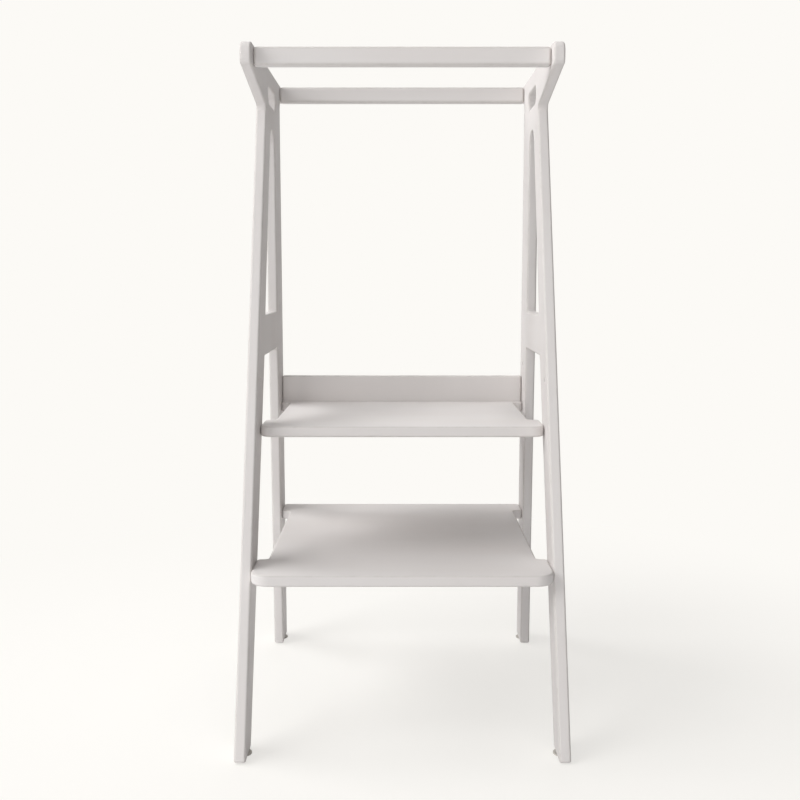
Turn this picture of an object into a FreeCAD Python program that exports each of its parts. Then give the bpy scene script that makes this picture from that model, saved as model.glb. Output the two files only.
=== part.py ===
import FreeCAD, Part
import os
import re
import Sketcher

# A toddler's kitchen helper stool, in millimetres. The child climbs in from the front, at -Y, and
# +X is on the right seen from there. The origin is on the floor, under the middle of the stool.
# Inside the pieces, depths run back from the sharp front corner of the front feet.

# The driving dimensions: name, size and what it measures.
SIZES = [
    # The whole stool
    ("overall_width", 424, "outer face to outer face of the side panels"),
    ("overall_height", 914, "floor to the top of the heads"),
    ("base_depth", 481, "front corner of the front foot to the back of the rear foot"),
    # The side panels
    ("panel_thickness", 15, "thickness of a side panel"),
    ("edge_round", 3, "rounding along the edges of every board"),
    ("waist_width", 169, "depth of a panel where its front edge meets the front arm"),
    ("waist_drop", 60, "top of the head to that corner"),
    ("front_arm_height", 30, "height of the head at its front nose"),
    ("rear_arm_height", 24, "height of the head at its rear nose"),
    ("front_reach", 156, "front arm, from the corner at the waist to its nose"),
    ("rear_overhang", 45, "rear arm, from the back of the rear leg to its nose"),
    ("front_foot", 51, "depth of the front leg at its foot"),
    ("front_leg_top", 68, "depth of the front leg under the cross band"),
    ("rear_foot", 54, "depth of the rear leg at its foot"),
    ("rear_leg_top", 70, "depth of the rear leg under the cross band"),
    ("opening_height", 495, "floor to the underside of the cross band"),
    ("band_height", 58, "height of the cross band"),
    ("slot_top_drop", 87, "top of the head to the top of the tall slot"),
    ("front_stile_low", 63, "depth of the front stile at the foot of the tall slot"),
    ("front_stile_high", 54, "depth of the front stile at the top of the tall slot"),
    ("rear_stile", 73, "depth of the rear stile"),
    ("handle_length", 93, "length of the hand slot"),
    ("handle_height", 25, "height of the hand slot"),
    ("handle_drop", 38.5, "top of the head to the middle of the hand slot"),
    ("handle_setback", 99.5, "back of the rear leg to the middle of the hand slot"),
    ("foot_round", 3.5, "rounding of the feet's corners"),
    ("opening_round", 4, "rounding of the corners over the legs and under the tall slot"),
    ("slot_round", 24, "rounding at the top of the tall slot"),
    ("waist_round", 6, "hollow under the front arm"),
    ("rear_arm_round", 18, "hollow under the rear arm"),
    ("nose_top_round", 16, "upper rounding of the noses"),
    ("nose_under_round", 7, "lower rounding of the noses"),
    # The top rails
    ("rail_depth", 18, "front to back of a rail"),
    ("rail_height", 25, "height of a rail"),
    ("rail_drop", 4, "top of the head to the top of a rail"),
    ("front_rail_setback", 31, "front nose to the middle of the front rail"),
    ("rear_rail_setback", 39, "rear nose to the middle of the rear rail"),
    ("rail_round", 5, "rounding along a rail"),
    ("rail_end_round", 4.5, "rounding at a rail's ends"),
    # The platforms and the toe board
    ("platform_thickness", 15, "thickness of both platforms"),
    ("lower_top", 228, "floor to the top of the lower platform"),
    ("upper_top", 403.5, "floor to the top of the upper platform"),
    ("upper_rise", 70, "how far up the spare holes of the upper platform are"),
    ("lower_nosing", 25, "how far the lower platform stands out before the legs"),
    ("upper_front_margin", 22.2, "front of the upper platform to its front bolts"),
    ("platform_rear_inset", 7, "back of the rear legs to the back of the platforms"),
    ("ear_reach", 15, "how far the ears stand out from the platforms' sides"),
    ("lower_front_ear", 81, "front to back of the lower platform's front ears"),
    ("lower_rear_ear", 48, "front to back of the lower platform's rear ears"),
    ("upper_front_ear", 70.5, "front to back of the upper platform's front ears"),
    ("upper_rear_ear", 32, "front to back of the upper platform's rear ears"),
    ("lower_corner_round", 24, "rounding of the lower platform's front corners"),
    ("upper_corner_round", 18.5, "rounding of the upper platform's front corners"),
    ("ear_round", 6, "rounding of the ears' other corners"),
    ("toe_board_height", 42, "height of the toe board"),
    ("toe_board_thickness", 15, "thickness of the toe board"),
    ("toe_board_gap", 0.5, "gap between the toe board's ends and the side panels"),
    # Bolts, and what they pull on: cylinder nuts in the platforms and sleeves in the rails
    ("bolt_diameter", 6, "shank of a connector bolt"),
    ("bolt_head_diameter", 15, "flat head of a connector bolt"),
    ("bolt_head_height", 2.5, "height of that head"),
    ("bolt_head_round", 0.8, "rounding round the head's rim"),
    ("bolt_head_sink", 0.5, "how far the head lies below the panel's face"),
    ("bolt_head_gap", 0.5, "play round the head in its recess"),
    ("bolt_hole_gap", 0.4, "play round the shank in the wood"),
    ("bolt_tip", 3, "how far a bolt reaches past its nut or sleeve"),
    ("bolt_hole_spare", 2, "how much deeper the hole is than the bolt"),
    ("hex_across", 4, "width across the flats of the key socket"),
    ("hex_depth", 1.8, "depth of the key socket"),
    ("lower_bolt_setback", 29, "legs' front edge to the front bolts of the lower platform"),
    ("recess_edge_gap", 0.5, "head recess to the rounding of a front leg's inner edge, upper platform"),
    ("rear_bolt_inset", 29, "back of the rear legs to the rear bolts"),
    ("nut_diameter", 10, "diameter of a cylinder nut"),
    ("nut_length", 11, "length of a cylinder nut"),
    ("nut_inset", 30, "board's end to the middle of the nut"),
    ("nut_gap", 0.1, "play round a cylinder nut"),
    ("nut_end_gap", 0.3, "play over a cylinder nut"),
    ("nut_chamfer", 0.5, "chamfer round a cylinder nut's ends"),
    ("nut_slot_width", 1.4, "width of its screwdriver slot"),
    ("nut_slot_depth", 1.2, "depth of its screwdriver slot"),
    ("sleeve_diameter", 10, "diameter of a threaded sleeve"),
    ("sleeve_length", 15, "length of a threaded sleeve"),
    ("sleeve_sink", 0.5, "how far a sleeve lies below the rail's end"),
    ("sleeve_chamfer", 0.8, "chamfer at a sleeve's inner end"),
    ("sleeve_hex_across", 7, "width across the flats of a sleeve's key socket"),
    ("sleeve_hex_depth", 3, "depth of that socket"),
    ("thread_gap", 0.05, "play of the threads of bolts, sleeves and screws"),
    # The rails' bolts and dowels
    ("rail_bolt_rise", 3.5, "how far the bolts lie above the middle of a rail"),
    ("rail_dowel_drop", 7, "how far the dowels lie below the middle of a rail"),
    ("dowel_diameter", 6, "diameter of a dowel"),
    ("dowel_length", 24, "length of a dowel"),
    ("dowel_in_panel", 8, "how much of a dowel is in the side panel"),
    ("dowel_gap", 0.05, "play round a dowel"),
    ("dowel_end_gap", 0.5, "play past each end of a dowel"),
    ("dowel_chamfer", 0.8, "chamfer round a dowel's ends"),
    # The toe board's screws
    ("screw_diameter", 4, "shank of a countersunk screw"),
    ("screw_length", 40, "length of a countersunk screw"),
    ("screw_head_diameter", 8, "head of a countersunk screw"),
    ("screw_head_gap", 0.2, "play round the head in the platform"),
    ("screw_tip", 5, "length of its point"),
    ("screw_hole_spare", 2, "how much deeper the toe board's holes are than the screws"),
    ("screw_spacing", 130, "distance between neighbouring screws"),
    ("cross_length", 4.4, "length of the cross recess"),
    ("cross_width", 1.1, "width of the cross recess"),
    ("cross_depth", 1.6, "depth of the cross recess"),
    # The felt pads under the feet
    ("pad_height", 1.5, "how far a pad lifts its foot off the floor"),
    ("pad_diameter", 22, "diameter of a pad"),
    ("pad_setback", 34, "front of a foot to the middle of its pad"),
    ("pad_round", 0.4, "rounding round a pad's underside"),
]

doc = FreeCAD.newDocument("toddler_stool")
sheet = doc.addObject("Spreadsheet::Sheet", "sizes")
for row, (name, size, meaning) in enumerate(SIZES, 1):
    sheet.set(f"A{row}", meaning)
    sheet.set(f"B{row}", str(size))
    sheet.setAlias(f"B{row}", name)
doc.recompute()
NAMES = {name for name, size, meaning in SIZES}

# Places that several pieces share, as formulas of the driving dimensions.
INNER_FACE = "(overall_width / 2 - panel_thickness)"
WAIST_HEIGHT = "(overall_height - waist_drop)"
FRONT_SLOPE = f"((base_depth - waist_width) / ({WAIST_HEIGHT} - pad_height))"
LEG_WIDENING = "((front_leg_top - front_foot) / (opening_height - pad_height))"
INNER_SLOPE = f"({FRONT_SLOPE} + {LEG_WIDENING})"
FRONT_NOSE = "(base_depth - waist_width - front_reach)"
REAR_NOSE = "(base_depth + rear_overhang)"
FRONT_UNDERSIDE = "(overall_height - front_arm_height)"
REAR_UNDERSIDE = "(overall_height - rear_arm_height)"
FOOT_FRONT = f"(foot_round * (sqrt(1 + {FRONT_SLOPE} ^ 2) + {FRONT_SLOPE} - 1))"
DEPTH_MIDDLE = f"(({FOOT_FRONT} + {REAR_NOSE}) / 2)"
PLATFORM_REAR = "(base_depth - platform_rear_inset)"
LOWER_MIDDLE = "(lower_top - platform_thickness / 2)"
UPPER_MIDDLE = "(upper_top - platform_thickness / 2)"
RAIL_MIDDLE = "(overall_height - rail_drop - rail_height / 2)"
FRONT_RAIL = f"({FRONT_NOSE} + front_rail_setback)"
REAR_RAIL = f"({REAR_NOSE} - rear_rail_setback)"
RAIL_BOLT = f"({RAIL_MIDDLE} + rail_bolt_rise)"
REAR_BOLT = "(base_depth - rear_bolt_inset)"
TOE_BOARD_MIDDLE = f"({PLATFORM_REAR} - toe_board_thickness / 2)"
BOLT_RECESS = "(bolt_head_height + bolt_head_sink)"
RECESS_RADIUS = "(bolt_head_diameter / 2 + bolt_head_gap)"
BOLT_IN_PLATFORM = "(nut_inset + nut_diameter / 2 + bolt_tip)"
BOLT_IN_RAIL = "(sleeve_sink + sleeve_length + bolt_tip)"
BOLT_HOLE = "(bolt_diameter / 2 + bolt_hole_gap)"
BOLT_THREAD = "(bolt_diameter / 2 + thread_gap)"
NUT_HOLE = "(nut_diameter / 2 + nut_gap)"
SLEEVE_HOLE = "(sleeve_diameter / 2 + thread_gap)"
DOWEL_HOLE = "(dowel_diameter / 2 + dowel_gap)"
SCREW_HEAD_HEIGHT = "((screw_head_diameter - screw_diameter) / 2)"
SCREW_HOLE = "(screw_diameter / 2 + thread_gap)"
SIDES = (1, -1)


def front_edge(height):
    """The depth at which the side panels' sloping front edge is, at a height."""
    return f"(({height} - pad_height) * {FRONT_SLOPE})"


def inner_edge(height):
    """The depth at which the front legs' sloping inner edge is, at a height under the cross band."""
    return f"(front_foot + ({height} - pad_height) * {INNER_SLOPE})"


LOWER_FRONT = f"({front_edge(LOWER_MIDDLE)} - lower_nosing)"
LOWER_BOLT = f"({front_edge(LOWER_MIDDLE)} + lower_bolt_setback)"
BOLT_TO_INNER_EDGE = f"(({RECESS_RADIUS} + edge_round + recess_edge_gap) * sqrt(1 + {INNER_SLOPE} ^ 2))"
UPPER_BOLT = f"({inner_edge(UPPER_MIDDLE)} - {BOLT_TO_INNER_EDGE})"
UPPER_FRONT = f"({UPPER_BOLT} - upper_front_margin)"


def linked(formula):
    """The formula with every driving dimension's name pointing at its cell."""
    return re.sub(r"[a-z_]+", lambda word: "sizes." + word[0] if word[0] in NAMES else word[0], formula)


def value(formula):
    """What the formula comes to now."""
    return float(sheet.evalExpression(linked(formula)))


def new_body(label, depth="0", height="0", across="0"):
    """An empty body, placed by three formulas."""
    body = doc.addObject("PartDesign::Body", label)
    body.Label = label
    body.setExpression("Placement.Base.x", linked(across))
    body.setExpression("Placement.Base.y", linked(depth))
    body.setExpression("Placement.Base.z", linked(height))
    return body


def new_sketch(body, name, role, offset="0"):
    """An empty sketch on one of the body's own planes, moved along that plane's normal."""
    drawing = body.newObject("Sketcher::SketchObject", f"{body.Name}_{name}")
    plane = next(item for item in body.Origin.OriginFeatures if item.Role == role)
    drawing.AttachmentSupport = [(plane, "")]
    drawing.MapMode = "FlatFace"
    drawing.setExpression(".AttachmentOffset.Base.z", linked(offset))
    return drawing


def hold(drawing, kind, places, formula):
    """A dimension of the sketch that follows a formula."""
    index = drawing.addConstraint(Sketcher.Constraint(kind, *places, value(formula)))
    drawing.setExpression(f"Constraints[{index}]", linked(formula))


def hold_point(drawing, item, point, across, up):
    """Both coordinates of one point of the sketch."""
    hold(drawing, "DistanceX", (-1, 1, item, point), across)
    hold(drawing, "DistanceY", (-1, 1, item, point), up)


def draw_polygon(drawing, corners):
    """A closed outline of straight edges through corners that are pairs of formulas."""
    points = [FreeCAD.Vector(value(across), value(up), 0) for across, up in corners]
    first = drawing.GeometryCount
    count = len(points)
    for index, start in enumerate(points):
        drawing.addGeometry(Part.LineSegment(start, points[(index + 1) % count]))
    for index, (across, up) in enumerate(corners):
        following = first + (index + 1) % count
        drawing.addConstraint(Sketcher.Constraint("Coincident", first + index, 2, following, 1))
        hold_point(drawing, first + index, 1, across, up)


def draw_circle(drawing, across, up, radius):
    """A circle whose centre and radius are formulas."""
    centre = FreeCAD.Vector(value(across), value(up), 0)
    item = drawing.addGeometry(Part.Circle(centre, FreeCAD.Vector(0, 0, 1), value(radius)))
    hold_point(drawing, item, 3, across, up)
    hold(drawing, "Radius", (item,), radius)


def draw_slot(drawing, across, up, length, height):
    """A level slot with half-round ends, round its middle."""
    radius = value(height) / 2
    reach = value(length) / 2 - radius
    middle = FreeCAD.Vector(value(across), value(up), 0)
    right = middle + FreeCAD.Vector(reach, 0, 0)
    left = middle - FreeCAD.Vector(reach, 0, 0)
    rise = FreeCAD.Vector(0, radius, 0)
    tip = FreeCAD.Vector(radius, 0, 0)
    under = drawing.addGeometry(Part.LineSegment(left - rise, right - rise))
    front = drawing.addGeometry(Part.Arc(right - rise, right + tip, right + rise))
    over = drawing.addGeometry(Part.LineSegment(right + rise, left + rise))
    back = drawing.addGeometry(Part.Arc(left + rise, left - tip, left - rise))
    for item, following in ((under, front), (front, over), (over, back), (back, under)):
        drawing.addConstraint(Sketcher.Constraint("Tangent", item, 2, following, 1))
    hold_point(drawing, front, 3, f"{across} + ({length} - {height}) / 2", up)
    hold_point(drawing, back, 3, f"{across} - ({length} - {height}) / 2", up)
    hold(drawing, "Radius", (front,), f"{height} / 2")
    drawing.addConstraint(Sketcher.Constraint("Equal", front, back))


def pad(body, name, drawing, length):
    """The sketch made solid along its plane's normal."""
    feature = body.newObject("PartDesign::Pad", f"{body.Name}_{name}")
    feature.Profile = drawing
    feature.setExpression("Length", linked(length))
    doc.recompute()
    return feature


def pocket(body, name, drawing, depth, forward):
    """The sketch cut out of the body, along its plane's normal or, if not forward, against it."""
    before = body.Shape.Volume
    feature = body.newObject("PartDesign::Pocket", f"{body.Name}_{name}")
    feature.Profile = drawing
    feature.Reversed = forward
    feature.setExpression("Length", linked(depth))
    doc.recompute()
    if feature.Shape.Volume > before - 1e-6:
        raise RuntimeError(f"{feature.Name} cuts nothing")
    return feature


def bore(body, name, role, offset, spots, radius, depth, forward):
    """Round blind holes at spots on one of the body's planes."""
    drawing = new_sketch(body, f"{name}_centres", role, offset)
    for across, up in spots:
        draw_circle(drawing, across, up, radius)
    return pocket(body, name, drawing, depth, forward)


def turn(body, role, axis, corners):
    """A half outline on one of the body's planes, turned once round one of that plane's axes."""
    drawing = new_sketch(body, "half_outline", role)
    draw_polygon(drawing, corners)
    feature = body.newObject("PartDesign::Revolution", f"{body.Name}_turned")
    feature.Profile = drawing
    feature.ReferenceAxis = (drawing, [axis])
    feature.Angle = 360
    doc.recompute()
    return feature


def round_off(body, name, radius, picked):
    """A rounding of the edges or faces that the body's tip has for picked(item)."""
    return soften(body, name, "PartDesign::Fillet", "Radius", radius, picked)


def chamfer_off(body, name, size, picked):
    """A chamfer along the edges or faces that the body's tip has for picked(item)."""
    return soften(body, name, "PartDesign::Chamfer", "Size", size, picked)


def soften(body, name, kind, measure, size, picked):
    """The feature that both take, with every edge and face that is picked."""
    tip = body.Tip
    edges = [f"Edge{number}" for number, edge in enumerate(tip.Shape.Edges, 1) if picked(edge)]
    faces = [f"Face{number}" for number, face in enumerate(tip.Shape.Faces, 1) if picked(face)]
    feature = body.newObject(kind, f"{body.Name}_{name}")
    feature.Base = (tip, edges + faces)
    feature.setExpression(measure, linked(size))
    doc.recompute()
    return feature


def upright_edges(role, spots):
    """Picks the straight edges that stand on a plane at any of the spots."""
    places = [(value(across), value(up)) for across, up in spots]

    def picked(item):
        if item.ShapeType != "Edge" or len(item.Vertexes) != 2:
            return False
        ends = [on_plane(role, vertex.Point) for vertex in item.Vertexes]
        return any(all(near(end, place) for end in ends) for place in places)

    return picked


def on_plane(role, point):
    """A point's two coordinates on one of the body's planes."""
    return {"XY_Plane": (point.x, point.y), "YZ_Plane": (point.y, point.z)}[role]


def near(one, other):
    """Whether two places on a plane are the same."""
    return max(abs(one[0] - other[0]), abs(one[1] - other[1])) < 1e-4


def flat_faces(direction):
    """Picks the flat faces that look along a direction or against it."""

    def picked(item):
        return (
            item.ShapeType == "Face"
            and item.Surface.TypeId == "Part::GeomPlane"
            and abs(item.normalAt(0, 0).dot(direction)) > 0.999999
        )

    return picked


def round_corners(body, role, corners):
    """Rounds an outline's corners, given as (across, up, rounding), alike ones in one feature."""
    for radius in dict.fromkeys(corner[2] for corner in corners):
        spots = [corner[:2] for corner in corners if corner[2] == radius]
        name = "corners_" + re.sub(r"[^a-z]+", "_", radius).strip("_")
        round_off(body, name[:40], radius, upright_edges(role, spots))


def drill_bolt_holes(body, offset, spots):
    """Through holes for bolts, each with a flat recess for the head at the face they start from."""
    drawing = new_sketch(body, "bolt_hole_centres", "YZ_Plane", offset)
    for across, up in spots:
        draw_circle(drawing, across, up, BOLT_HOLE)
    doc.recompute()
    before = body.Shape.Volume
    hole = body.newObject("PartDesign::Hole", f"{body.Name}_bolt_holes")
    hole.Profile = drawing
    doc.recompute()
    hole.ThreadType = "None"
    hole.DepthType = "ThroughAll"
    hole.HoleCutType = "Counterbore"
    hole.HoleCutCustomValues = True
    hole.setExpression("Diameter", linked(f"2 * {BOLT_HOLE}"))
    hole.setExpression("HoleCutDiameter", linked(f"2 * {RECESS_RADIUS}"))
    hole.setExpression("HoleCutDepth", linked(BOLT_RECESS))
    doc.recompute()
    if hole.Shape.Volume > before - 1e-6:
        raise RuntimeError(f"{hole.Name} cuts nothing")
    return hole


def group(label, master, spots):
    """Copies of one piece, each a solid of its own: (across, depth, height, turned half round)."""
    copies = []
    for number, (across, depth, height, turned) in enumerate(spots, 1):
        copy = doc.addObject("App::Link", f"{label}_{number}")
        copy.LinkedObject = master
        copy.Placement.Rotation = FreeCAD.Rotation(FreeCAD.Vector(0, 0, 1), 180 if turned else 0)
        copy.setExpression("Placement.Base.x", linked(across))
        copy.setExpression("Placement.Base.y", linked(depth))
        copy.setExpression("Placement.Base.z", linked(height))
        copies.append(copy)
    compound = doc.addObject("Part::Compound", label)
    compound.Label = label
    compound.Links = copies
    return compound


def both_sides(across, depths_and_heights):
    """The same spots on the right and, turned half round, on the left."""
    return [
        (f"{side} * {across}", f"{depth} - {DEPTH_MIDDLE}", height, side < 0)
        for side in SIDES
        for depth, height in depths_and_heights
    ]


def side_panels():
    """Two mirrored panels: sloping front leg, upright rear leg, cross band, tall slot and head."""
    right = new_body("right_side_panel", depth=f"-{DEPTH_MIDDLE}", across=INNER_FACE)
    arm_height = "min(front_arm_height, rear_arm_height)"
    nose_top = f"min(nose_top_round, {arm_height} * 0.66)"
    nose_under = f"min(nose_under_round, {arm_height} * 0.3)"
    rear_hollow = "min(rear_arm_round, (rear_overhang - nose_under_round) * 0.9)"
    outline = [
        ("0", "pad_height", "foot_round"),
        ("front_foot", "pad_height", "foot_round"),
        (inner_edge("opening_height"), "opening_height", "opening_round"),
        ("base_depth - rear_leg_top", "opening_height", "opening_round"),
        ("base_depth - rear_foot", "pad_height", "foot_round"),
        ("base_depth", "pad_height", "foot_round"),
        ("base_depth", REAR_UNDERSIDE, rear_hollow),
        (REAR_NOSE, REAR_UNDERSIDE, nose_under),
        (REAR_NOSE, "overall_height", nose_top),
        (FRONT_NOSE, "overall_height", nose_top),
        (FRONT_NOSE, FRONT_UNDERSIDE, nose_under),
        ("base_depth - waist_width", WAIST_HEIGHT, "waist_round"),
    ]
    slot_foot = "(opening_height + band_height)"
    slot_top = "(overall_height - slot_top_drop)"
    slot_top_front = f"({front_edge(slot_top)} + front_stile_high)"
    slot_top_width = f"(base_depth - rear_stile - {slot_top_front})"
    slot_top_round = f"min(slot_round, {slot_top_width} * 0.47)"
    tall_slot = [
        (f"{front_edge(slot_foot)} + front_stile_low", slot_foot, "opening_round"),
        ("base_depth - rear_stile", slot_foot, "opening_round"),
        ("base_depth - rear_stile", slot_top, slot_top_round),
        (slot_top_front, slot_top, slot_top_round),
    ]
    drawing = new_sketch(right, "profile", "YZ_Plane")
    draw_polygon(drawing, [corner[:2] for corner in outline])
    draw_polygon(drawing, [corner[:2] for corner in tall_slot])
    hand_slot = ("base_depth - handle_setback", "overall_height - handle_drop")
    draw_slot(drawing, *hand_slot, "handle_length", "handle_height")
    pad(right, "board", drawing, "panel_thickness")
    round_corners(right, "YZ_Plane", outline + tall_slot)
    sides = flat_faces(FreeCAD.Vector(1, 0, 0))
    round_off(right, "edges", "min(edge_round, panel_thickness * 0.45)", sides)
    bolts = [
        (FRONT_RAIL, RAIL_BOLT),
        (REAR_RAIL, RAIL_BOLT),
        (LOWER_BOLT, LOWER_MIDDLE),
        (REAR_BOLT, LOWER_MIDDLE),
        (UPPER_BOLT, UPPER_MIDDLE),
        (REAR_BOLT, UPPER_MIDDLE),
        (UPPER_BOLT, f"{UPPER_MIDDLE} + upper_rise"),
        (REAR_BOLT, f"{UPPER_MIDDLE} + upper_rise"),
    ]
    drill_bolt_holes(right, "panel_thickness", bolts)
    dowels = [(rail, f"{RAIL_MIDDLE} - rail_dowel_drop") for rail in (FRONT_RAIL, REAR_RAIL)]
    bore(right, "dowel_holes", "YZ_Plane", "0", dowels, DOWEL_HOLE,
         "dowel_in_panel + dowel_end_gap", forward=True)
    left = doc.addObject("Part::Mirroring", "left_side_panel")
    left.Label = "left_side_panel"
    left.Source = right
    left.Normal = FreeCAD.Vector(1, 0, 0)
    return [right, left]


def top_rail(label, depth):
    """A rail between the heads, drilled at both ends for a bolt, its sleeve and a dowel."""
    rail = new_body(label, depth=f"{depth} - {DEPTH_MIDDLE}", height=RAIL_MIDDLE)
    half_depth = "rail_depth / 2"
    half_height = "rail_height / 2"
    corners = [(f"{a} * {half_depth}", f"{b} * {half_height}")
               for a, b in ((-1, -1), (1, -1), (1, 1), (-1, 1))]
    drawing = new_sketch(rail, "section", "YZ_Plane", f"-{INNER_FACE}")
    draw_polygon(drawing, corners)
    pad(rail, "bar", drawing, f"2 * {INNER_FACE}")
    along = "min(rail_round, rail_depth * 0.45, rail_height * 0.45)"
    round_off(rail, "edges", along, upright_edges("YZ_Plane", corners))
    ends = flat_faces(FreeCAD.Vector(1, 0, 0))
    round_off(rail, "ends", "min(rail_end_round, rail_round * 0.9)", ends)
    dowel_depth = "dowel_length - dowel_in_panel + dowel_end_gap"
    for side, word in zip(SIDES, ("right", "left")):
        end = f"{side} * {INNER_FACE}"
        bolt = [("0", "rail_bolt_rise")]
        bore(rail, f"{word}_sleeve_hole", "YZ_Plane", end, bolt, SLEEVE_HOLE,
             "sleeve_sink + sleeve_length", forward=side < 0)
        bore(rail, f"{word}_bolt_hole", "YZ_Plane", end, bolt, BOLT_HOLE,
             f"{BOLT_IN_RAIL} + bolt_hole_spare", forward=side < 0)
        bore(rail, f"{word}_dowel_hole", "YZ_Plane", end, [("0", "-rail_dowel_drop")], DOWEL_HOLE,
             dowel_depth, forward=side < 0)
    return rail


def platform(label, front, top, corner, front_ear, rear_ear, bolts):
    """A board with four ears, which reach the side panels and take the bolts in their edges."""
    board = new_body(label, depth=f"-{DEPTH_MIDDLE}", height=f"{top} - platform_thickness")
    ear_corner = "min(ear_round, ear_reach * 0.45)"
    recess = f"({INNER_FACE} - ear_reach)"
    right = [
        (INNER_FACE, front, corner),
        (INNER_FACE, f"{front} + {front_ear}", ear_corner),
        (recess, f"{front} + {front_ear}", ear_corner),
        (recess, f"{PLATFORM_REAR} - {rear_ear}", ear_corner),
        (INNER_FACE, f"{PLATFORM_REAR} - {rear_ear}", ear_corner),
        (INNER_FACE, PLATFORM_REAR, ear_corner),
    ]
    left = [(f"-{across}", depth, radius) for across, depth, radius in reversed(right)]
    corners = right + left
    drawing = new_sketch(board, "outline", "XY_Plane")
    draw_polygon(drawing, [corner[:2] for corner in corners])
    pad(board, "board", drawing, "platform_thickness")
    round_corners(board, "XY_Plane", corners)
    faces = flat_faces(FreeCAD.Vector(0, 0, 1))
    round_off(board, "edges", "min(edge_round, platform_thickness * 0.4)", faces)
    for side, word in zip(SIDES, ("right", "left")):
        holes = [(bolt, "platform_thickness / 2") for bolt in bolts]
        bore(board, f"{word}_bolt_holes", "YZ_Plane", f"{side} * {INNER_FACE}", holes, BOLT_HOLE,
             f"{BOLT_IN_PLATFORM} + bolt_hole_spare", forward=side < 0)
    nuts = [(f"{side} * ({INNER_FACE} - nut_inset)", bolt) for side in SIDES for bolt in bolts]
    bore(board, "nut_holes", "XY_Plane", "0", nuts, NUT_HOLE,
         "platform_thickness / 2 + nut_length / 2 + nut_end_gap", forward=True)
    return board


def screw_places():
    """How far across each of the toe board's three screws is."""
    return [f"{step} * screw_spacing" for step in (-1, 0, 1)]


def toe_board():
    """The upright board along the rear edge of the upper platform, screwed on from below."""
    board = new_body("toe_board", depth=f"{TOE_BOARD_MIDDLE} - {DEPTH_MIDDLE}", height="upper_top")
    half = "toe_board_thickness / 2"
    section = [(f"-{half}", "0"), (half, "0"), (half, "toe_board_height"), (f"-{half}", "toe_board_height")]
    end = f"({INNER_FACE} - toe_board_gap)"
    drawing = new_sketch(board, "section", "YZ_Plane", f"-{end}")
    draw_polygon(drawing, section)
    pad(board, "board", drawing, f"2 * {end}")

    def above_foot(item):
        return item.ShapeType == "Edge" and max(vertex.Z for vertex in item.Vertexes) > 1e-6

    round_off(board, "edges", "min(edge_round, toe_board_thickness * 0.4)", above_foot)
    holes = [(across, "0") for across in screw_places()]
    bore(board, "pilot_holes", "XY_Plane", "0", holes, SCREW_HOLE,
         "screw_length - platform_thickness + screw_hole_spare", forward=True)
    return board


def upper_platform():
    """The platform that the child stands on, with countersunk holes under its rear edge."""
    board = platform("upper_platform", UPPER_FRONT, "upper_top", "upper_corner_round", "upper_front_ear",
                     "upper_rear_ear", (UPPER_BOLT, REAR_BOLT))
    holes = [(across, TOE_BOARD_MIDDLE) for across in screw_places()]
    bore(board, "screw_holes", "XY_Plane", "0", holes, SCREW_HOLE, "platform_thickness", forward=True)
    radius = value(SCREW_HOLE)

    def lower_rim(item):
        return (
            item.ShapeType == "Edge"
            and item.Curve.TypeId == "Part::GeomCircle"
            and abs(item.Curve.Radius - radius) < 1e-6
            and abs(item.Curve.Center.z) < 1e-6
        )

    chamfer_off(board, "countersinks", f"{SCREW_HEAD_HEIGHT} + screw_head_gap", lower_rim)
    return board


def draw_hexagon(drawing, across_flats):
    """A hexagon round the origin."""
    draw_polygon(drawing, [(f"{across_flats} / sqrt(3) * cos({60 * corner} deg)",
                            f"{across_flats} / sqrt(3) * sin({60 * corner} deg)") for corner in range(6)])


def bolt_master(label, reach):
    """A connector bolt along X: the head's face at the origin and the shank towards -X.

    It goes through a side panel and as far as its reach into what the panel carries.
    """
    bolt = new_body(label)
    head = "bolt_head_diameter / 2"
    shank = "bolt_diameter / 2"
    end = f"-(panel_thickness - bolt_head_sink + {reach})"
    turn(bolt, "XY_Plane", "H_Axis", [
        ("0", "0"), ("0", head), ("-bolt_head_height", head), ("-bolt_head_height", shank),
        (end, shank), (end, "0"),
    ])

    def rim(item):
        return item.ShapeType == "Edge" and abs(item.CenterOfMass.x) < 1e-6 and item.Length > 1

    round_off(bolt, "rim", "min(bolt_head_round, bolt_head_height * 0.45)", rim)
    drawing = new_sketch(bolt, "key_socket_outline", "YZ_Plane")
    draw_hexagon(drawing, "hex_across")
    pocket(bolt, "key_socket", drawing, "hex_depth", forward=False)
    return bolt


def nut_master():
    """A cylinder nut upright round the origin, with its cross hole along X and a slot below."""
    nut = new_body("cylinder_nut")
    drawing = new_sketch(nut, "section", "XY_Plane", "-nut_length / 2")
    draw_circle(drawing, "0", "0", "nut_diameter / 2")
    pad(nut, "cylinder", drawing, "nut_length")
    chamfer_off(nut, "ends", "nut_chamfer", flat_faces(FreeCAD.Vector(0, 0, 1)))
    bore(nut, "thread", "YZ_Plane", "-nut_diameter / 2", [("0", "0")], BOLT_THREAD, "nut_diameter",
         forward=True)
    half = "nut_diameter / 2"
    side = "nut_slot_width / 2"
    slot = new_sketch(nut, "driver_slot_outline", "XY_Plane", "-nut_length / 2")
    draw_polygon(slot, [(f"-{half}", f"-{side}"), (half, f"-{side}"), (half, side), (f"-{half}", side)])
    pocket(nut, "driver_slot", slot, "nut_slot_depth", forward=True)
    return nut


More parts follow.
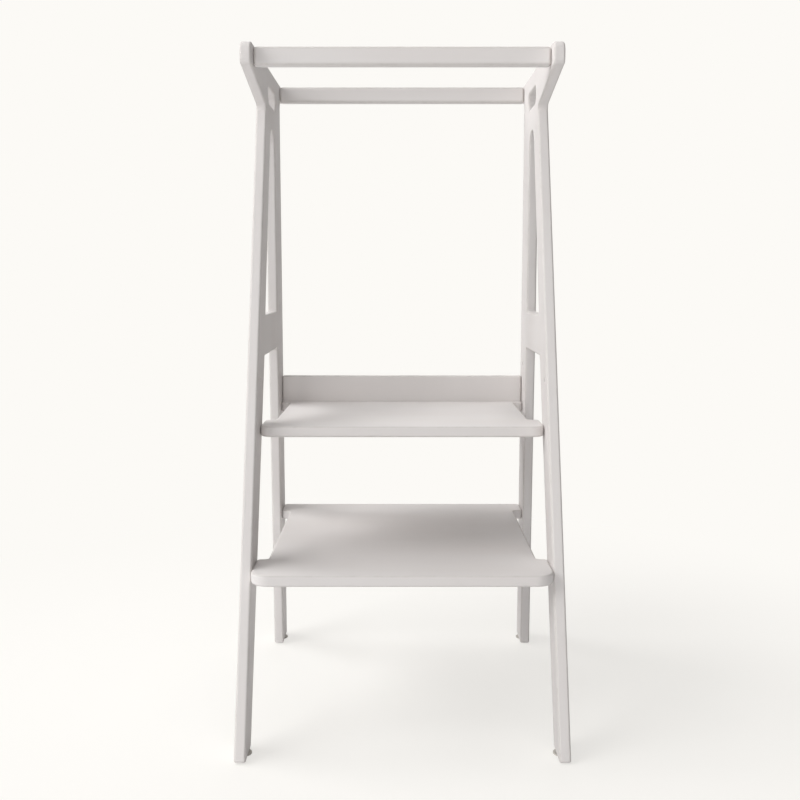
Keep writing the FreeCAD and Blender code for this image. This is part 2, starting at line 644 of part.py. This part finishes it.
def sleeve_master():
    """A threaded sleeve along X: the end with the key socket at the origin, the rest towards -X."""
    sleeve = new_body("threaded_sleeve")
    outside = "sleeve_diameter / 2"
    turn(sleeve, "XY_Plane", "H_Axis", [
        ("0", BOLT_THREAD), ("0", outside), ("-(sleeve_length - sleeve_chamfer)", outside),
        ("-sleeve_length", f"{outside} - sleeve_chamfer"), ("-sleeve_length", BOLT_THREAD),
    ])
    drawing = new_sketch(sleeve, "key_socket_outline", "YZ_Plane")
    draw_hexagon(drawing, "sleeve_hex_across")
    pocket(sleeve, "key_socket", drawing, "sleeve_hex_depth", forward=False)
    return sleeve


def dowel_master():
    """A dowel along X, round the origin."""
    dowel = new_body("wooden_dowel")
    drawing = new_sketch(dowel, "section", "YZ_Plane", "-dowel_length / 2")
    draw_circle(drawing, "0", "0", "dowel_diameter / 2")
    pad(dowel, "pin", drawing, "dowel_length")
    chamfer_off(dowel, "ends", "dowel_chamfer", flat_faces(FreeCAD.Vector(1, 0, 0)))
    return dowel


def screw_master():
    """A countersunk screw that points up, its head's face at the origin."""
    screw = new_body("countersunk_screw")
    head = "screw_head_diameter / 2"
    shank = "screw_diameter / 2"
    turn(screw, "XZ_Plane", "V_Axis", [
        ("0", "0"), (head, "0"), (shank, SCREW_HEAD_HEIGHT), (shank, "screw_length - screw_tip"),
        ("0", "screw_length"),
    ])
    long = "cross_length / 2"
    wide = "cross_width / 2"
    drawing = new_sketch(screw, "cross_outline", "XY_Plane")
    draw_polygon(drawing, [
        (long, f"-{wide}"), (long, wide), (wide, wide), (wide, long), (f"-{wide}", long),
        (f"-{wide}", wide), (f"-{long}", wide), (f"-{long}", f"-{wide}"), (f"-{wide}", f"-{wide}"),
        (f"-{wide}", f"-{long}"), (wide, f"-{long}"), (wide, f"-{wide}"),
    ])
    pocket(screw, "cross", drawing, "cross_depth", forward=True)
    return screw


def floor_pad(label, side, depth):
    """A round felt pad under one foot, wider than the side panel is thick."""
    disc = new_body(label, depth=f"{depth} - {DEPTH_MIDDLE}",
                    across=f"{side} * ({INNER_FACE} + panel_thickness / 2)")
    drawing = new_sketch(disc, "section", "XY_Plane")
    draw_circle(drawing, "0", "0", "pad_diameter / 2")
    pad(disc, "disc", drawing, "pad_height")

    def rim(item):
        return item.ShapeType == "Edge" and abs(item.CenterOfMass.z) < 1e-6

    round_off(disc, "rim", "min(pad_round, pad_height * 0.4)", rim)
    return disc


def hardware():
    """Bolts, nuts, sleeves, dowels and screws, alike ones in one group."""
    nut = nut_master()
    sleeve = sleeve_master()
    dowel = dowel_master()
    platform_bolt = bolt_master("platform_bolt", BOLT_IN_PLATFORM)
    rail_bolt = bolt_master("rail_bolt", BOLT_IN_RAIL)
    bolt_head = "(overall_width / 2 - bolt_head_sink)"
    nut_place = f"({INNER_FACE} - nut_inset)"
    sleeve_place = f"({INNER_FACE} - sleeve_sink)"
    dowel_place = f"({INNER_FACE} + dowel_in_panel - dowel_length / 2)"
    pieces = []
    for name, bolt, height in (("lower_platform", LOWER_BOLT, LOWER_MIDDLE),
                               ("upper_platform", UPPER_BOLT, UPPER_MIDDLE)):
        spots = [(bolt, height), (REAR_BOLT, height)]
        pieces.append(group(f"{name}_bolts", platform_bolt, both_sides(bolt_head, spots)))
        pieces.append(group(f"{name}_cylinder_nuts", nut, both_sides(nut_place, spots)))
    for name, depth in (("front_rail", FRONT_RAIL), ("rear_rail", REAR_RAIL)):
        spots = [(depth, RAIL_BOLT)]
        pieces.append(group(f"{name}_bolts", rail_bolt, both_sides(bolt_head, spots)))
        pieces.append(group(f"{name}_sleeves", sleeve, both_sides(sleeve_place, spots)))
        spots = [(depth, f"{RAIL_MIDDLE} - rail_dowel_drop")]
        pieces.append(group(f"{name}_dowels", dowel, both_sides(dowel_place, spots)))
    screws = [(across, f"{TOE_BOARD_MIDDLE} - {DEPTH_MIDDLE}", "upper_top - platform_thickness", False)
              for across in screw_places()]
    pieces.append(group("toe_board_screws", screw_master(), screws))
    return pieces


def floor_pads():
    """One pad under each foot, a little behind its middle."""
    feet = {"front": "pad_setback", "rear": "(base_depth - rear_foot + pad_setback)"}
    return [floor_pad(f"{end}_{word}_floor_pad", side, depth)
            for side, word in zip(SIDES, ("right", "left"))
            for end, depth in feet.items()]


subparts = side_panels()
subparts.append(top_rail("front_top_rail", FRONT_RAIL))
subparts.append(top_rail("rear_top_rail", REAR_RAIL))
subparts.append(platform("lower_platform", LOWER_FRONT, "lower_top", "lower_corner_round",
                         "lower_front_ear", "lower_rear_ear", (LOWER_BOLT, REAR_BOLT)))
subparts.append(upper_platform())
subparts.append(toe_board())
subparts.extend(hardware())
subparts.extend(floor_pads())
doc.recompute()

for item in doc.Objects:
    if {"Invalid", "Error"} & set(item.State):
        raise RuntimeError(f"{item.Name} failed: {item.State}")
for piece in subparts:
    if piece.Shape.isNull() or not piece.Shape.isValid() or not piece.Shape.Solids:
        raise RuntimeError(f"{piece.Label} is not a valid solid")

os.makedirs("parts", exist_ok=True)
for piece in subparts:
    piece.Shape.exportStep(f"parts/{piece.Label}.step")
    print(f"{piece.Label}: {len(piece.Shape.Solids)} solids, {piece.Shape.Volume / 1000:.1f} cm3")
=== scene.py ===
"""Finish, light and camera of a toddler's kitchen helper stool, in metres.

The child climbs in from the front, at -Y; +X is on the right seen from there and the floor is z = 0.
"""

import math

import bpy
import numpy as np
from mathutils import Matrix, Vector

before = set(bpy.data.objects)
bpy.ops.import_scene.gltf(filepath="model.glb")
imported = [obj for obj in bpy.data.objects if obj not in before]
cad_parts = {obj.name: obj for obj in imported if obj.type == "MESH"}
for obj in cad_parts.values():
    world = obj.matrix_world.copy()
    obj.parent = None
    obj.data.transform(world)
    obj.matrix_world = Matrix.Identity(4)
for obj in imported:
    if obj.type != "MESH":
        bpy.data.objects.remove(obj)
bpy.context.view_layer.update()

MM = 0.001
ACROSS = (1, 0, 0)
ALONG = (0, 1, 0)
UPRIGHT = (0, 0, 1)

# Paint, bare wood, zinc, felt and the studio, as red, green and blue out of 255.
PAINT = (217, 213, 211)
PAINT_WARMER = (213, 207, 204)
# The next colour is painted shade along the rounded edges and also the tone of rubbed paint.
PAINT_EDGE_SHADE_AND_WEAR = (186, 180, 175)
BEECH_LIGHT = (222, 196, 158)
BEECH_DARK = (190, 155, 112)
ZINC = (202, 205, 208)
ZINC_DULL = (172, 176, 180)
FELT_PALE = (208, 204, 197)
FELT_GREY = (168, 164, 158)
STUDIO_WHITE = (252, 250, 246)

# Each painted board: the way its grain runs and the way its thickness goes.
BOARDS = {
    "right_side_panel": (UPRIGHT, ACROSS),
    "left_side_panel": (UPRIGHT, ACROSS),
    "lower_platform": (ACROSS, UPRIGHT),
    "upper_platform": (ACROSS, UPRIGHT),
    "toe_board": (ACROSS, ALONG),
    "front_top_rail": (ACROSS, ALONG),
    "rear_top_rail": (ACROSS, ALONG),
}
STEEL_NODES = ("bolts", "cylinder_nuts", "sleeves", "screws")


class Value:
    """A number that a shader works out; an expression on it adds the Math nodes that it needs."""

    def __init__(self, shader, socket):
        self.shader = shader
        self.socket = socket

    def math(self, operation, *others):
        inputs = dict(enumerate((self, *others)))
        return self.shader.node("ShaderNodeMath", inputs, operation=operation)["Value"]

    def __add__(self, other):
        return self.math("ADD", other)

    __radd__ = __add__

    def __sub__(self, other):
        return self.math("SUBTRACT", other)

    def __rsub__(self, other):
        return self * -1 + other

    def __mul__(self, other):
        return self.math("MULTIPLY", other)

    __rmul__ = __mul__

    def __abs__(self):
        return self.math("ABSOLUTE")


class Outputs:
    """A node's outputs by name."""

    def __init__(self, shader, node):
        self.shader = shader
        self.node = node

    def __getitem__(self, name):
        return Value(self.shader, find_socket(self.node.outputs, name))


def find_socket(sockets, name):
    """The socket at a place, or with an identifier or a name."""
    if isinstance(name, int):
        return sockets[name]
    for socket in sockets:
        if socket.identifier == name:
            return socket
    return sockets[name]


class Shader:
    """A node tree that is written from nothing."""

    def __init__(self, tree):
        self.tree = tree
        tree.nodes.clear()

    def node(self, kind, inputs=None, **settings):
        """A node of a kind, with its settings and then its sockets' values or links."""
        node = self.tree.nodes.new(kind)
        for name, setting in settings.items():
            setattr(node, name, setting)
        for name, given in (inputs or {}).items():
            socket = find_socket(node.inputs, name)
            if isinstance(given, Value):
                self.tree.links.new(given.socket, socket)
            else:
                socket.default_value = given
        return Outputs(self, node)

    def scaled(self, vector, scale):
        """A vector times another, part by part."""
        return self.node("ShaderNodeVectorMath", {0: vector, 1: scale}, operation="MULTIPLY")["Vector"]

    def dot(self, vector, direction):
        """How much of a vector lies along a direction."""
        return self.node("ShaderNodeVectorMath", {0: vector, 1: direction}, operation="DOT_PRODUCT")["Value"]

    def noise(self, vector, detail=2.0, roughness=0.5):
        """Soft noise from 0 to 1 whose grains are one unit of the vector apart."""
        inputs = {"Vector": vector, "Scale": 1.0, "Detail": detail, "Roughness": roughness}
        return self.node("ShaderNodeTexNoise", inputs)["Fac"]

    def mix(self, share, first, second):
        """A colour between two, by a share from 0 to 1."""
        inputs = {"Factor_Float": share, "A_Color": first, "B_Color": second}
        return self.node("ShaderNodeMix", inputs, data_type="RGBA")["Result_Color"]

    def ramp(self, number, low, high):
        """0 below low, 1 above high and smooth between them."""
        inputs = {"Value": number, "From Min": low, "From Max": high}
        return self.node("ShaderNodeMapRange", inputs, interpolation_type="SMOOTHSTEP")["Result"]

    def surface(self, **inputs):
        """The output with a Principled shader, whose sockets' names have _ for a space here."""
        named = {name.replace("_", " "): given for name, given in inputs.items()}
        shaded = self.node("ShaderNodeBsdfPrincipled", named)["BSDF"]
        self.node("ShaderNodeOutputMaterial", {"Surface": shaded})

    def bump(self, height):
        """The normal that a height in metres gives."""
        return self.node("ShaderNodeBump", {"Strength": 1.0, "Distance": 1.0, "Height": height})["Normal"]


def linear(colour):
    """Red, green and blue out of 255, by the sRGB curve, as the linear colour that a shader takes."""
    parts = (part / 255 for part in colour)
    return (*(p / 12.92 if p <= 0.04045 else ((p + 0.055) / 1.055) ** 2.4 for p in parts), 1.0)


def new_material(name):
    """An empty material and its shader."""
    material = bpy.data.materials.new(name)
    material.use_nodes = True
    return material, Shader(material.node_tree)


def spacing(along, length, width):
    """Marks per metre on each axis, from their length along one direction and their width across it."""
    return tuple(1 / length if part else 1 / width for part in along)


def even(size):
    """Marks per metre on each axis, for a pattern that is alike in every direction."""
    return (1 / size,) * 3


# Painted plywood. Patterns are given as (length, width) or as one size, and the shares and steps of
# roughness say how strongly each of them shows.
PAINT_FIBRES = (90 * MM, 1.6 * MM)
PAINT_CLOUDS = (260 * MM, 70 * MM)
PAINT_STIPPLE = 1.1 * MM
PAINT_RUBS = 14 * MM
PLY_THICKNESS = 1.35 * MM
FIBRES_FROM_TO = (0.55, 0.8)
CLOUDS_FROM_TO = (0.25, 0.8)
RUBS_FROM_TO = (0.45, 0.75)
CLOUD_SHARE = 0.5
FIBRE_SHARE = 0.10
# Share of painted shade that darkens every rounded edge and damps its highlight.
EDGE_SHADE_SHARE = 0.4
RUBBED_SHARE = 0.25
PAINT_GLOSS = 0.25
PAINT_ROUGHNESS = 0.55
CLOUD_ROUGHNESS = 0.08
STIPPLE_ROUGHNESS = 0.06
RUBBED_SHEEN = 0.06
STIPPLE_HEIGHT = 0.010 * MM
FIBRE_HEIGHT = 0.012 * MM
PLY_HEIGHT = 0.003 * MM


def painted_board(name, grain, thickness):
    """Satin paint rolled on plywood: roller stipple, the grain and plies just showing through it.

    On the rounded edges, where the normal turns from the board's face to its wall, painted shade
    darkens the paint all along, which damps the highlight that the lamps put there, and in places it is
    rubbed.
    """
    material, shader = new_material(name)
    place = shader.node("ShaderNodeTexCoord")
    position = place["Object"]
    facing = abs(shader.dot(place["Normal"], thickness))
    wall = 1 - facing * facing
    rounding = 4 * facing * facing * wall

    fibres = shader.noise(shader.scaled(position, spacing(grain, *PAINT_FIBRES)), detail=3.0)
    clouds = shader.noise(shader.scaled(position, spacing(grain, *PAINT_CLOUDS)), detail=2.0)
    stipple = shader.noise(shader.scaled(position, even(PAINT_STIPPLE)), detail=1.0)
    rubs = shader.noise(shader.scaled(position, even(PAINT_RUBS)), detail=4.0, roughness=0.65)

    depth = shader.dot(position, thickness)
    plies = (depth * (2 * math.pi / PLY_THICKNESS)).math("SINE")

    rubbed = rounding * shader.ramp(rubs, *RUBS_FROM_TO)
    warmer = shader.ramp(clouds, *CLOUDS_FROM_TO) * CLOUD_SHARE
    colour = shader.mix(warmer, linear(PAINT), linear(PAINT_WARMER))
    # Painted shade darkens every rounded edge all along; the rubbed patches on top of it are wear.
    colour = shader.mix(rounding * EDGE_SHADE_SHARE + rubbed * RUBBED_SHARE, colour, linear(PAINT_EDGE_SHADE_AND_WEAR))
    colour = shader.mix(shader.ramp(fibres, *FIBRES_FROM_TO) * FIBRE_SHARE, colour, linear(PAINT_WARMER))

    roughness = PAINT_ROUGHNESS + CLOUD_ROUGHNESS * clouds + STIPPLE_ROUGHNESS * stipple
    roughness = roughness - RUBBED_SHEEN * rubbed
    height = STIPPLE_HEIGHT * stipple + FIBRE_HEIGHT * fibres * facing + PLY_HEIGHT * plies * wall
    shader.surface(Base_Color=colour, Roughness=roughness, Specular_IOR_Level=PAINT_GLOSS,
                   Normal=shader.bump(height))
    return material


# Bare beech
BEECH_FIBRES = (30 * MM, 0.5 * MM)
BEECH_FLECKS = (3 * MM, 0.4 * MM)
BEECH_FIBRES_FROM_TO = (0.3, 0.7)
BEECH_FLECKS_FROM_TO = (0.62, 0.72)
BEECH_FLECK_SHARE = 0.6
BEECH_ROUGHNESS = 0.6
BEECH_FLECK_ROUGHNESS = 0.15
BEECH_FIBRE_HEIGHT = 0.02 * MM


def bare_beech():
    """Beech dowels: fine grain along the dowel with short dark flecks."""
    material, shader = new_material("bare_beech")
    position = shader.node("ShaderNodeTexCoord")["Object"]
    fibres = shader.noise(shader.scaled(position, spacing(ACROSS, *BEECH_FIBRES)), detail=3.0)
    flecks = shader.noise(shader.scaled(position, spacing(ACROSS, *BEECH_FLECKS)))
    darker = shader.ramp(fibres, *BEECH_FIBRES_FROM_TO)
    colour = shader.mix(darker, linear(BEECH_LIGHT), linear(BEECH_DARK))
    flecked = shader.ramp(flecks, *BEECH_FLECKS_FROM_TO) * BEECH_FLECK_SHARE
    colour = shader.mix(flecked, colour, linear(BEECH_DARK))
    height = BEECH_FIBRE_HEIGHT * fibres
    shader.surface(Base_Color=colour, Roughness=BEECH_ROUGHNESS + BEECH_FLECK_ROUGHNESS * flecks,
                   Normal=shader.bump(height))
    return material


# Zinc on steel
ZINC_CLOUDS = 4 * MM
ZINC_MARKS = (0.12 * MM, 2.5 * MM)
ZINC_CLOUDS_FROM_TO = (0.35, 0.7)
ZINC_ROUGHNESS = 0.24
ZINC_CLOUD_ROUGHNESS = 0.16
ZINC_MARK_ROUGHNESS = 0.06
ZINC_MARK_HEIGHT = 0.002 * MM


def zinc_plate():
    """Bright zinc on steel: cloudy, with fine turning marks."""
    material, shader = new_material("zinc_plate")
    position = shader.node("ShaderNodeTexCoord")["Object"]
    clouds = shader.noise(shader.scaled(position, even(ZINC_CLOUDS)), detail=4.0, roughness=0.6)
    marks = shader.noise(shader.scaled(position, spacing(ACROSS, *ZINC_MARKS)), detail=2.0)
    colour = shader.mix(shader.ramp(clouds, *ZINC_CLOUDS_FROM_TO), linear(ZINC), linear(ZINC_DULL))
    roughness = ZINC_ROUGHNESS + ZINC_CLOUD_ROUGHNESS * clouds + ZINC_MARK_ROUGHNESS * marks
    height = ZINC_MARK_HEIGHT * marks
    shader.surface(Base_Color=colour, Metallic=1.0, Roughness=roughness, Normal=shader.bump(height))
    return material


# Pressed felt
FELT_FIBRES = 0.35 * MM
FELT_TUFTS = 2.5 * MM
FELT_FIBRES_FROM_TO = (0.35, 0.75)
FELT_GREY_SHARE = 0.6
FELT_ROUGHNESS = 0.85
FELT_TUFT_ROUGHNESS = 0.12
FELT_FIBRE_HEIGHT = 0.06 * MM
FELT_TUFT_HEIGHT = 0.1 * MM


def pad_felt():
    """Pressed wool felt: pale matted fibres with darker ones among them."""
    material, shader = new_material("pad_felt")
    position = shader.node("ShaderNodeTexCoord")["Object"]
    matted = shader.noise(shader.scaled(position, even(FELT_FIBRES)), detail=5.0, roughness=0.7)
    tufts = shader.noise(shader.scaled(position, even(FELT_TUFTS)), detail=3.0)
    greyer = shader.ramp(matted, *FELT_FIBRES_FROM_TO) * FELT_GREY_SHARE
    colour = shader.mix(greyer, linear(FELT_PALE), linear(FELT_GREY))
    height = FELT_FIBRE_HEIGHT * matted + FELT_TUFT_HEIGHT * tufts
    shader.surface(Base_Color=colour, Roughness=FELT_ROUGHNESS + FELT_TUFT_ROUGHNESS * tufts,
                   Normal=shader.bump(height))
    return material


def wear(node, material):
    """Gives a node of the frame one material all over."""
    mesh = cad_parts[node].data
    mesh.materials.clear()
    mesh.materials.append(material)


def dress_the_stool():
    """Every node gets its finish."""
    paints = {}
    for grain, thickness in sorted(set(BOARDS.values())):
        name = f"paint_{'xyz'[grain.index(1)]}_{'xyz'[thickness.index(1)]}"
        paints[grain, thickness] = painted_board(name, grain, thickness)
    beech = bare_beech()
    zinc = zinc_plate()
    felt = pad_felt()
    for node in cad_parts:
        if node in BOARDS:
            wear(node, paints[BOARDS[node]])
        elif node.endswith("dowels"):
            wear(node, beech)
        elif node.endswith("floor_pad"):
            wear(node, felt)
        elif node.endswith(STEEL_NODES):
            wear(node, zinc)
        else:
            raise ValueError(f"{node} has no finish")


# The studio: a level floor round the stool. The camera sees a share of its shading up to one
# distance from the middle, and past another nothing but the studio's white.
FLOOR_HALF = 9.0
FLOOR_FADE_START = 0.4
FLOOR_FADE_END = 1.1
FLOOR_SHADING = 0.35
# The floor's own colour: what the camera sees of it, against the studio's white, and what it
# throws back on the stool.
FLOOR_SEEN = 0.985
FLOOR_BOUNCE = 0.9
STOOL_MIDDLE = (0, 0, 0.45)
LAMPS = {
    # name: where it hangs, what it is aimed at, its width and its power in watts
    "left_key": ((-6.0, -3.0, 4.2), STOOL_MIDDLE, 5.0, 385),
    "left_rear": ((-4.5, 1.9, 5.0), STOOL_MIDDLE, 3.0, 175),
    "front_fill": ((0, -7.0, 2.0), STOOL_MIDDLE, 6.0, 122),
    "low_front": ((0, -6.0, 0.55), STOOL_MIDDLE, 1.0, 46),
    "top": ((0, 0, 6.5), (0, 0, 0), 6.0, 150),
    "rear": ((0, 5.0, 4.0), (0, 0, 0.3), 4.0, 75),
}


def seen_rays(shader):
    """1 for rays that show the studio to the camera, straight or in gloss or glass, else 0."""
    path = shader.node("ShaderNodeLightPath")
    shown = path["Is Camera Ray"].math("MAXIMUM", path["Is Glossy Ray"])
    return shown.math("MAXIMUM", path["Is Transmission Ray"])


def white_floor():
    """A level floor that keeps a light shadow of the stool and fades into the white of the studio."""
    corners = np.array([(-1, -1, 0), (1, -1, 0), (1, 1, 0), (-1, 1, 0)]) * FLOOR_HALF
    mesh = bpy.data.meshes.new("studio_floor")
    mesh.from_pydata(corners.tolist(), [], [(0, 1, 2, 3)])
    floor = bpy.data.objects.new("studio_floor", mesh)
    bpy.context.scene.collection.objects.link(floor)

    material, shader = new_material("studio_floor")
    position = shader.node("ShaderNodeTexCoord")["Object"]
    distance = shader.node("ShaderNodeVectorMath", {0: position}, operation="LENGTH")["Value"]
    near = 1 - shader.ramp(distance, FLOOR_FADE_START, FLOOR_FADE_END)
    seen = seen_rays(shader)
    white = linear(STUDIO_WHITE)
    bounce = (FLOOR_BOUNCE, FLOOR_BOUNCE, FLOOR_BOUNCE, 1.0)
    colour = shader.mix(seen, bounce, tuple(part * FLOOR_SEEN for part in white[:3]) + (1.0,))
    lit = shader.node("ShaderNodeBsdfDiffuse", {"Color": colour})["BSDF"]
    plain = shader.node("ShaderNodeEmission", {"Color": white, "Strength": 1.0})["Emission"]
    share = seen * (1 - near * FLOOR_SHADING)
    mixed = shader.node("ShaderNodeMixShader", {0: share, 1: lit, 2: plain})["Shader"]
    shader.node("ShaderNodeOutputMaterial", {"Surface": mixed})
    mesh.materials.append(material)


def white_world():
    """The studio's white all round, which is seen but lights nothing."""
    world = bpy.data.worlds.new("studio")
    world.use_nodes = True
    bpy.context.scene.world = world
    shader = Shader(world.node_tree)
    inputs = {"Color": linear(STUDIO_WHITE), "Strength": seen_rays(shader)}
    shown = shader.node("ShaderNodeBackground", inputs)["Background"]
    shader.node("ShaderNodeOutputWorld", {"Surface": shown})


def soft_lamps():
    """Square softboxes, each aimed at a point of the stool."""
    for name, (place, target, width, power) in LAMPS.items():
        light = bpy.data.lights.new(name, "AREA")
        light.shape = "SQUARE"
        light.size = width
        light.energy = power
        lamp = bpy.data.objects.new(name, light)
        lamp.location = place
        lamp.rotation_euler = (Vector(target) - Vector(place)).to_track_quat("-Z", "Y").to_euler()
        lamp.visible_camera = False
        bpy.context.scene.collection.objects.link(lamp)


# The camera: a 46 mm lens before the middle of the stool, 0.61 m up and pitched down by 7 degrees,
# which is 83 degrees up from straight down.
LENS = 46.35
SENSOR_WIDTH = 36
CAMERA_PLACE = (-0.0031, -1.4893, 0.6123)
CAMERA_TILT = math.radians(83)


def photo_camera():
    """The view of the photograph."""
    camera = bpy.data.cameras.new("camera")
    camera.lens = LENS
    camera.sensor_width = SENSOR_WIDTH
    eye = bpy.data.objects.new("camera", camera)
    eye.location = CAMERA_PLACE
    eye.rotation_euler = (CAMERA_TILT, 0, 0)
    bpy.context.scene.collection.objects.link(eye)
    bpy.context.scene.camera = eye


dress_the_stool()
white_floor()
white_world()
soft_lamps()
photo_camera()
bpy.context.scene.view_settings.view_transform = "Standard"
